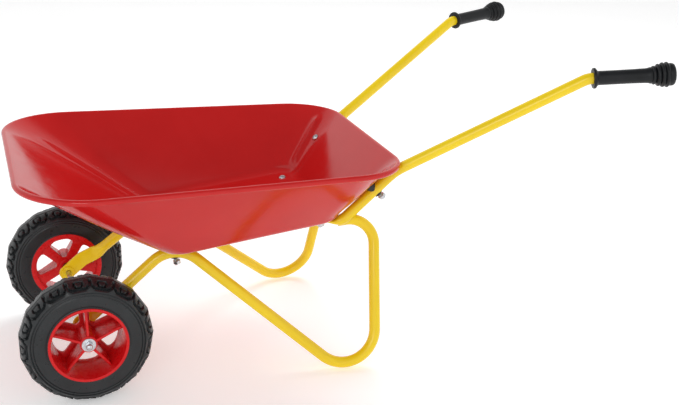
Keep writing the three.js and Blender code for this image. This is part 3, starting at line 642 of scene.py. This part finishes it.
def tyre_section():
    """The tyre's cross-section as (radius, height), from one bore edge over the tread to the other."""
    half = [
        # the bead at the rim, with a ring pressed into it
        (50.9, 23.5), (51.4, 24.6), (52.6, 25.3), (54.2, 25.4), (54.6, 24.8), (55.2, 24.7), (55.8, 25.3),
        # the plain sidewall, with two rings near the shoulder
        (58, 25.5), (62, 25.6), (66, 25.6), (69.4, 25.5), (70.6, 25.4), (71.2, 24.2), (71.9, 24.1),
        (72.5, 25.2), (73.4, 25.3), (74.2, 25.1), (74.8, 23.7), (75.5, 23.6), (76.1, 24.8), (77, 24.9),
        (77.9, 24.5),
    ]
    shoulder = [
        (79, 23.8), (80.2, 23.1), (81.4, 22.3), (82.5, 21.4), (83.6, 20.4), (84.6, 19.3), (85.5, 18.1),
        (86.3, 16.8), (87, 15.4), (87.5, 14.2),
    ]
    crown = [(87.6 + 2.4 * (1 - (y / 14) ** 2), y) for y in np.linspace(13.2, 0, 20)]
    upper = half + shoulder + crown
    return np.array([(r, -y) for r, y in upper] + [(r, y) for r, y in reversed(upper[:-1])])


def stroke(s, y, points, width):
    """1 inside a groove of a given width that follows a line, 0 away from it, with a steep wall."""
    nearest = np.full(s.shape, 1e9)
    for (s0, y0), (s1, y1) in zip(points[:-1], points[1:]):
        run = np.array([s1 - s0, y1 - y0])
        t = np.clip(((s - s0) * run[0] + (y - y0) * run[1]) / (run @ run), 0, 1)
        nearest = np.minimum(nearest, np.hypot(s - s0 - t * run[0], y - y0 - t * run[1]))
    return 1 - smoothstep(width / 2 - 0.5, width / 2 + 0.5, nearest)


def half_tread(s, y):
    """Grooves of one half of the tread: a six-sided ring in each block, and a zigzag round the blocks."""
    half = PERIOD / 2
    ring = [(-5, 10.5), (-6.3, 16), (-3.6, 20.5), (3.6, 20.5), (6.3, 16), (5, 10.5), (-5, 10.5)]
    grooves = stroke(s, y, ring, RING_GROOVE)
    zigzag = [(-half, 18.5), (-half + 6, 24.5), (half - 6, 24.5), (half, 18.5)]
    grooves = np.maximum(grooves, stroke(s, y, zigzag, ZIGZAG_GROOVE))
    for end in (-half, half):
        grooves = np.maximum(grooves, stroke(s, y, [(end, 9), (end, 18.5)], STUB_GROOVE))
    return grooves


def tread_depth(s, y):
    """Groove depth, 0 to 1, at a distance round the tyre and a distance along the section from its middle."""
    half = PERIOD / 2
    near = half_tread((s + half) % PERIOD - half, y)
    far = half_tread(s % PERIOD - half, -y)
    line = 0.2 * smoothstep(1.1, 0.6, np.abs(np.abs(y) - 5.2))
    return np.maximum(np.maximum(near, far), line)


def flat_facets(s):
    """How far out the tyre reaches, as a fraction, where each of the tread's periods is one flat."""
    half = PERIOD / 2
    turn = ((s + half) % PERIOD - half) / WHEEL_RADIUS
    return math.cos(math.pi / TREAD_PERIODS) / np.cos(turn)


def tyre_shape():
    section = tyre_section()
    columns = TREAD_PERIODS * STEPS_PER_PERIOD
    steps = np.linalg.norm(np.diff(section, axis=0), axis=1)
    along = np.concatenate([[0], np.cumsum(steps)])
    along -= along[-1] / 2
    angle = full_turn(columns)
    s, y = np.meshgrid(angle * WHEEL_RADIUS, along)
    tangent = unit(np.gradient(section, axis=0))
    normal = np.stack([tangent[:, 1], -tangent[:, 0]], axis=-1)
    outward = section - [60, 0]  # from the middle of the section's body
    normal = np.where((normal * outward).sum(axis=1, keepdims=True) < 0, -normal, normal)
    depth = tread_depth(s, y) * TREAD_DEPTH
    facets = 1 + (flat_facets(s) - 1) * smoothstep(31, 27, np.abs(y))
    radius = section[:, 0:1] * facets - normal[:, 0:1] * depth
    height = section[:, 1:2] - normal[:, 1:2] * depth
    return Shape().grid(about_y(angle, radius, height), wrap_rows=True)


RIM_HALF = 27.7
SPOKES = 5
SPOKE_PHASE = {"left": 90.0, "right": 62.0}  # where each wheel has come to rest, in degrees
WEB_RADIUS = 47.6
WEB_THICKNESS = 6.0
RIB_THICKNESS = 3.6


def plate(outlines, thickness, bevel):
    """A flat plate with round edges, in the XY plane about z = 0, from one outline and its holes."""
    curve = bpy.data.curves.new("plate", "CURVE")
    curve.dimensions = "2D"
    curve.fill_mode = "BOTH"
    curve.extrude = thickness / 2 - bevel
    curve.bevel_depth = bevel
    curve.bevel_resolution = 2
    curve.offset = -bevel
    for points in outlines:
        spline = curve.splines.new("POLY")
        spline.points.add(len(points) - 1)
        for slot, (x, y) in zip(spline.points, points):
            slot.co = (x, y, 0, 1)
        spline.use_cyclic_u = True
    holder = bpy.data.objects.new("plate", curve)
    bpy.context.scene.collection.objects.link(holder)
    bpy.context.view_layer.update()
    mesh = bpy.data.meshes.new_from_object(holder.evaluated_get(bpy.context.evaluated_depsgraph_get()))
    points = [tuple(v.co) for v in mesh.vertices]
    faces = [tuple(p.vertices) for p in mesh.polygons]
    bpy.data.objects.remove(holder)
    bpy.data.curves.remove(curve)
    bpy.data.meshes.remove(mesh)
    return Shape().add(points, faces)


def window_outline(middle):
    """A window between two spokes, as points in the wheel's plane."""
    spread = math.radians(25.5)
    polar = [(15.5, -0.2), (42.5, -spread), (45.4, -spread * 0.5), (45.8, 0)]
    polar += [(r, -a) for r, a in reversed(polar[:-1])]
    corners = [(r * math.cos(middle + a), r * math.sin(middle + a)) for r, a in polar]
    return rounded(corners, 6.0, 6, closed=True)


def rim_shape(sideways, phase):
    edge, lip = RIM_HALF, TYRE_HALF + GAP
    barrel = [
        (46.2, -edge), (53.4, -edge), (53.6, -lip), (50.6, -lip), (50.6, lip), (53.6, lip), (53.6, edge),
        (49.6, edge), (46.4, -14), (45.4, -edge + 8),
    ]
    shape = revolve(rounded(barrel, 0.7, 3, closed=True), 128, closed=True)
    circle = [(WEB_RADIUS * math.cos(a), WEB_RADIUS * math.sin(a)) for a in full_turn(96)]
    windows = [window_outline((i + 0.5) * 2 * math.pi / SPOKES) for i in range(SPOKES)]
    flat = Matrix.Rotation(-math.pi / 2, 4, "X")
    web = plate([circle, *windows], WEB_THICKNESS, 0.9)
    web = web.moved(Matrix.Translation((0, -edge + WEB_THICKNESS, 0)) @ flat)
    shape.add(web.points, web.faces)
    top = edge - 5
    side_view = [(9, -edge + 4), (47, -edge + 4), (49, top - 8), (40, top - 8), (9, top)]
    side_view = rounded(side_view, 2.0, 4, closed=True)
    for i in range(SPOKES):
        rib = plate([side_view], RIB_THICKNESS, 0.8).moved(Matrix.Rotation(i * 2 * math.pi / SPOKES, 4, "Y"))
        shape.add(rib.points, rib.faces)
    hub = [(4.06, -edge), (11.6, -edge), (11.6, edge - 4), (4.06, edge - 4)]
    hub = revolve(rounded(hub, 1.0, 3, closed=True), 64, closed=True)
    shape.add(hub.points, hub.faces)
    angle = math.radians(phase)
    turn = -angle if sideways > 0 else angle + math.pi
    return shape.moved(Matrix.Rotation(turn, 4, "Y"))


def on_axle(sideways):
    """Where a wheel stands: its open face points away from the barrow's middle."""
    turn = Matrix.Rotation(math.pi, 4, "Z") if sideways < 0 else Matrix.Identity(4)
    return Matrix.Translation((0, sideways * WHEEL_OFFSET, WHEEL_RADIUS)) @ turn


def make_wheel(name, sideways):
    rim = rim_shape(sideways, SPOKE_PHASE[name]).moved(on_axle(sideways))
    body, node = f"{name}_wheel", f"{name}_wheel_rim"
    make_piece(f"{name}_rim", rim, body, RED_PLASTIC, [node], sharp=40)
    tyre = tyre_shape().moved(on_axle(sideways))
    make_piece(f"{name}_tyre_tread", tyre, body, TYRE_RUBBER, [f"{name}_tyre"], sharp=60)


# ---- Axle and fasteners ------------------------------------------------------------------------------------

SCREW_RADIUS = 3.0
NUT_ACROSS, NUT_HEIGHT = 10, 5
NUT_CHAMFER = 0.9


def thread_profile(radius, start, end, pitch=1.0):
    """A screw thread's outline along a shank, as rings rather than a helix."""
    count = max(1, int(abs(end - start) / pitch))
    points = []
    for i in range(count):
        at = start + (end - start) * i / count
        points += [(radius, at), (radius - 0.45, at + (end - start) / count / 2)]
    return points


def hexagon_nut(bore, dome=0.0, sides=96):
    """A hexagon nut on y = 0 with chamfered corners, and a dome over it where one is asked for."""
    angle = full_turn(sides)
    half, height = NUT_ACROSS / 2, NUT_HEIGHT
    flat = half / np.cos((angle + math.pi / 6) % (math.pi / 3) - math.pi / 6)
    rings = []
    for y in [0, 0.25, 0.5, 0.8, height - 0.8, height - 0.5, height - 0.25, height]:
        depth = y if dome else min(y, height - y)
        cone = half - 0.05 + min(1, depth / NUT_CHAMFER) * (NUT_ACROSS * 0.08 + 0.1)
        rings.append(about_y(angle, np.minimum(flat, cone), y))
    if dome:
        steps = np.linspace(0, math.pi / 2, 12)
        rings += [about_y(angle, (half - 0.5) * math.cos(t), height + dome * math.sin(t)) for t in steps]
        return Shape().grid(np.array([about_y(angle, 0.0, 0.0), *rings]))
    hole = [(bore + 0.5, height), (bore, height - 0.5), (bore, 0.5), (bore + 0.5, 0)]
    rings += [about_y(angle, r, y) for r, y in hole]
    return Shape().grid(np.array(rings), wrap_rows=True)


def pan_bolt(length, head_radius=6.0, head_height=3.3, sides=64):
    """A pan-headed bolt: its head, with a cross recess, is below y = 0, and its tip is threaded."""
    angle = full_turn(sides)
    rings = []
    for t in np.linspace(0, 1, 26):
        radius = head_radius * t
        top = head_height * (1 - t**2.6) ** 0.5 if t < 1 else 0.0
        x, z = radius * np.cos(angle), radius * np.sin(angle)
        arm = np.minimum(np.abs(x), np.abs(z))
        reach = np.maximum(np.abs(x), np.abs(z))
        recess = (1 - smoothstep(0.55, 0.85, arm)) * (1 - smoothstep(2.5, 3.2, reach))
        rings.append(np.stack([x, -(top - 1.8 * recess), -z], axis=-1))
    plain = length * 0.45
    shank = [(SCREW_RADIUS, 0), (SCREW_RADIUS, plain), *thread_profile(SCREW_RADIUS, plain, length - 0.6)]
    rings += list(revolved([*shank, (2.3, length), (0, length)], sides))
    return Shape().grid(np.array(rings))


def washer(bore, radius, thickness):
    profile = rounded([(bore, 0), (radius, 0), (radius, thickness), (bore, thickness)], 0.3, 3, closed=True)
    return revolve(profile, 64, closed=True)


def make_axle():
    half = float(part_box("axle")[1][1]) * 1000
    shoulder = WHEEL_OFFSET + RIM_HALF - 4
    right = [(4.0, 0), (4.0, shoulder - 0.5), (3.5, shoulder)]
    right += [*thread_profile(SCREW_RADIUS, shoulder, half), (0, half)]
    profile = [(r, -y) for r, y in reversed(right)] + right[1:]
    axle = revolve(profile, 48).moved(Matrix.Translation((0, 0, WHEEL_RADIUS)))
    make_piece("axle_rod", axle, "frame", ZINC, ["axle"])


def make_axle_hardware(name, sideways):
    """The washers, collar and domed nut on one half of the axle."""
    turn = Matrix.Rotation(math.pi, 4, "Z") if sideways < 0 else Matrix.Identity(4)
    base = Matrix.Translation((0, 0, WHEEL_RADIUS)) @ turn

    def span(node):
        low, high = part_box(node)
        return sorted(abs(float(v)) * 1000 for v in (low[1], high[1]))

    low, high = span(f"{name}_lock_washer")
    ring = washer(4.3, 9.5, high - low).moved(base @ Matrix.Translation((0, low, 0)))
    # A zinc part that is painted over with the arm, as the photograph shows.
    make_piece(f"{name}_lock_ring", ring, "frame", YELLOW_PAINT, [f"{name}_lock_washer"])
    low, high = span(f"{name}_outer_washer")
    ring = washer(3.3, 9.5, high - low).moved(base @ Matrix.Translation((0, low, 0)))
    make_piece(f"{name}_flat_washer", ring, "frame", ZINC, [f"{name}_outer_washer"])
    low, high = span(f"{name}_axle_collar")
    profile = rounded([(4.3, 0), (7, 0), (7, high - low), (4.3, high - low)], 0.6, 3, closed=True)
    collar = revolve(profile, 48, closed=True).moved(base @ Matrix.Translation((0, low, 0)))
    make_piece(f"{name}_collar", collar, "frame", BLACK_PLASTIC, [f"{name}_axle_collar"])
    low, high = span(f"{name}_axle_nut")
    nut = hexagon_nut(3.2, dome=high - low - NUT_HEIGHT).moved(base @ Matrix.Translation((0, low, 0)))
    make_piece(f"{name}_domed_nut", nut, "frame", ZINC, [f"{name}_axle_nut"], sharp=30)


def stack_axis(name, place):
    """A bolt's line, from its CAD bolt and nut: the middle of each, and the direction down."""
    bolt, nut = node_centre(f"{name}_{place}_bolt"), node_centre(f"{name}_{place}_nut")
    down = unit(nut - bolt) if place == "wall" else -FLOOR_NORMAL
    return bolt - [AXLE_X, 0, 0], nut - [AXLE_X, 0, 0], down


def on_sheet(middle, down):
    """Where a bolt's line meets the tray from inside."""
    tree = BVHTree.FromPolygons([v.co for v in TRAY.data.vertices], [f.vertices for f in TRAY.data.polygons])
    origin = Vector((middle - down * 60 + [AXLE_X, 0, 0]) / 1000)
    place, _, _, _ = tree.ray_cast(origin, Vector(down))
    return np.array(place) * 1000 - [AXLE_X, 0, 0]


def saddle_block(radius, flat_end, tube_at, tube_run, down, towards_tube):
    """A round block between a flat end and a tube, hollowed to the tube's shape, along +Y."""
    angle = full_turn(56)
    turn = np.array(standing((0, 0, 0), down).to_3x3())
    run = turn.T @ tube_run
    run = unit(np.array([run[0], 0, run[2]]))
    rings = []
    flat = [(r, 0.0) for r in (0, 0.5, 0.9, 0.97)]
    wall = [(1.0, 0.06), (1.0, 0.5), (1.0, 0.95)]
    hollowed = [(r, 1.0) for r in (0.97, 0.85, 0.7, 0.5, 0.3, 0.0)]
    for r, rise in flat + wall + hollowed:
        x, z = radius * r * np.cos(angle), -radius * r * np.sin(angle)
        aside = np.abs(x * run[2] - z * run[0])
        reach = np.sqrt(np.clip((TUBE_RADIUS + 0.1) ** 2 - aside**2, 9.0, None))
        hollow = tube_at - towards_tube * reach
        rings.append(np.stack([x, flat_end + (hollow - flat_end) * rise, z], axis=-1))
    return Shape().grid(np.array(rings))


def make_blocks(name, place, seat, down, tube_middle, tube_run, end):
    """The spacer above the tube and the saddle below it, on one bolt."""
    tube_at = float(np.dot(tube_middle - seat, down))
    for kind, radius, flat_end, towards_tube in [("spacer", 7.5, SHEET, 1), ("saddle", 6.6, end, -1)]:
        block = saddle_block(radius, flat_end, tube_at, tube_run, down, towards_tube)
        block = block.moved(standing(seat, down))
        node = f"{name}_{place}_{kind}"
        make_piece(f"{node}_block", block, "frame", BLACK_PLASTIC, [node], sharp=40)


NUT_DROP = {"front": 3.0, "wall": 3.0, "rear": 0.0}  # below its CAD node, so that some shank shows
BOLT_PAST_SEAT = 7.0  # from the nut's upper face to the bolt's tip
WASHER_THICKNESS = 1.5
SADDLE_TO_NUT = 4.4  # from the saddle's lower face to the CAD nut's middle
TUBE_TO_NUT = 2.8 + 1.5 + TUBE_RADIUS + GAP  # from the tube's middle to the CAD nut's middle


def make_bolt(name, place):
    bolt_middle, nut_middle, down = stack_axis(name, place)
    nut_start = nut_middle + down * (NUT_DROP[place] - NUT_HEIGHT / 2)
    seat = on_sheet(bolt_middle, down)
    length = float(np.dot(nut_start + down * BOLT_PAST_SEAT - seat, down))
    bolt = pan_bolt(length).moved(standing(seat, down))
    make_piece(f"{name}_{place}_screw", bolt, "frame", ZINC, [f"{name}_{place}_bolt"], sharp=40)
    nut = hexagon_nut(3.1).moved(standing(nut_start, down))
    make_piece(f"{name}_{place}_hex_nut", nut, "frame", ZINC, [f"{name}_{place}_nut"], sharp=30)
    if place == "rear":
        middle = node_centre(f"{name}_rear_washer") - [AXLE_X, 0, 0]
        ring = washer(3.3, 6.5, WASHER_THICKNESS).moved(standing(middle - down * WASHER_THICKNESS / 2, down))
        make_piece(f"{name}_rear_ring", ring, "frame", ZINC, [f"{name}_rear_washer"])
        return
    sideways = SIDES[name]
    saddle_end = float(np.dot(nut_middle - seat, down)) - SADDLE_TO_NUT
    tube_middle = nut_middle - down * TUBE_TO_NUT
    if place == "front":
        run = np.array([1.0, 0, 0])
    else:
        corners = handle_corners(sideways)
        run = unit(corners[3] - corners[2])
    make_blocks(name, place, seat, down, tube_middle, run, saddle_end)


make_axle()
for side_name, side_sign in SIDES.items():
    make_tubes(side_name, side_sign)
    make_grip(side_name, side_sign)
    make_wheel(side_name, side_sign)
    make_axle_hardware(side_name, side_sign)
    for bolt_place in ("front", "wall", "rear"):
        make_bolt(side_name, bolt_place)

# ---- Floor, light and camera -------------------------------------------------------------------------------


def make_floor():
    look = Look("floor_pale", 0.6)
    look.colour(look.ramp(look.noise(3, 3), [(0.3, (0.88, 0.88, 0.88)), (0.7, (0.9, 0.9, 0.9))]))
    look.shader.inputs["Emission Color"].default_value = (1, 1, 1, 1)
    look.shader.inputs["Emission Strength"].default_value = 0.3
    mesh = bpy.data.meshes.new("floor")
    reach = 12.0
    corners = [(-reach, -reach, 0), (reach, -reach, 0), (reach, reach, 0), (-reach, reach, 0)]
    mesh.from_pydata(corners, [], [(0, 1, 2, 3)])
    mesh.materials.append(look.material)
    floor = bpy.data.objects.new("floor", mesh)
    bpy.context.scene.collection.objects.link(floor)


def area_light(name, place, target, size, power, mirrored=True):
    """A soft light. One that isn't mirrored lights the pieces but leaves no reflection of itself."""
    light = bpy.data.lights.new(name, "AREA")
    light.shape = "RECTANGLE"
    light.size, light.size_y = size
    light.energy = power
    holder = bpy.data.objects.new(name, light)
    holder.visible_glossy = mirrored
    holder.location = place
    holder.rotation_euler = (Vector(target) - Vector(place)).to_track_quat("-Z", "Y").to_euler()
    bpy.context.scene.collection.objects.link(holder)


def make_world():
    """A bright studio wall all round, under a dimmer ceiling."""
    world = bpy.data.worlds.new("studio")
    bpy.context.scene.world = world
    world.use_nodes = True
    tree = world.node_tree
    split = tree.nodes.new("ShaderNodeSeparateXYZ")
    ramp = tree.nodes.new("ShaderNodeValToRGB")
    for element, (height, grey) in zip(ramp.color_ramp.elements, [(0.67, 1.0), (0.79, 0.28)]):
        element.position = height
        element.color = (grey, grey, grey, 1)
    tree.links.new(tree.nodes.new("ShaderNodeTexCoord").outputs["Generated"], split.inputs["Vector"])
    tree.links.new(split.outputs["Z"], ramp.inputs["Fac"])
    tree.links.new(ramp.outputs["Color"], tree.nodes["Background"].inputs["Color"])


CAMERA_PLACE = (-120.7, -1521.9, 766.7)
CAMERA_AZIMUTH, CAMERA_ELEVATION, CAMERA_ROLL = -19.21, 19.59, 0.79  # degrees
CAMERA_LENS = 58.36


def make_camera():
    azimuth, elevation, roll = (math.radians(v) for v in (CAMERA_AZIMUTH, CAMERA_ELEVATION, CAMERA_ROLL))
    level = math.cos(elevation)
    back = Vector((math.sin(azimuth) * level, -math.cos(azimuth) * level, math.sin(elevation)))
    right = Vector((0, 0, 1)).cross(back).normalized()
    up = back.cross(right)
    right, up = right * math.cos(roll) + up * math.sin(roll), up * math.cos(roll) - right * math.sin(roll)
    data = bpy.data.cameras.new("camera")
    data.lens = CAMERA_LENS
    data.sensor_width = 36
    data.clip_start, data.clip_end = 0.05, 60
    camera = bpy.data.objects.new("camera", data)
    x, y, z = CAMERA_PLACE
    place = Vector(((x + AXLE_X) / 1000, y / 1000, z / 1000))
    turn = Matrix((right, up, back)).transposed().to_4x4()
    camera.matrix_world = Matrix.Translation(place) @ turn
    bpy.context.scene.collection.objects.link(camera)
    bpy.context.scene.camera = camera


make_floor()
make_world()
area_light("key", (0.9, 1.1, 2.2), (0, 0, 0.2), (1.6, 0.4), 25, mirrored=False)
area_light("fill", (-1.3, -2.6, 1.5), (0, 0, 0.2), (1.2, 1.0), 12)
make_camera()
bpy.context.scene.view_settings.view_transform = "Standard"
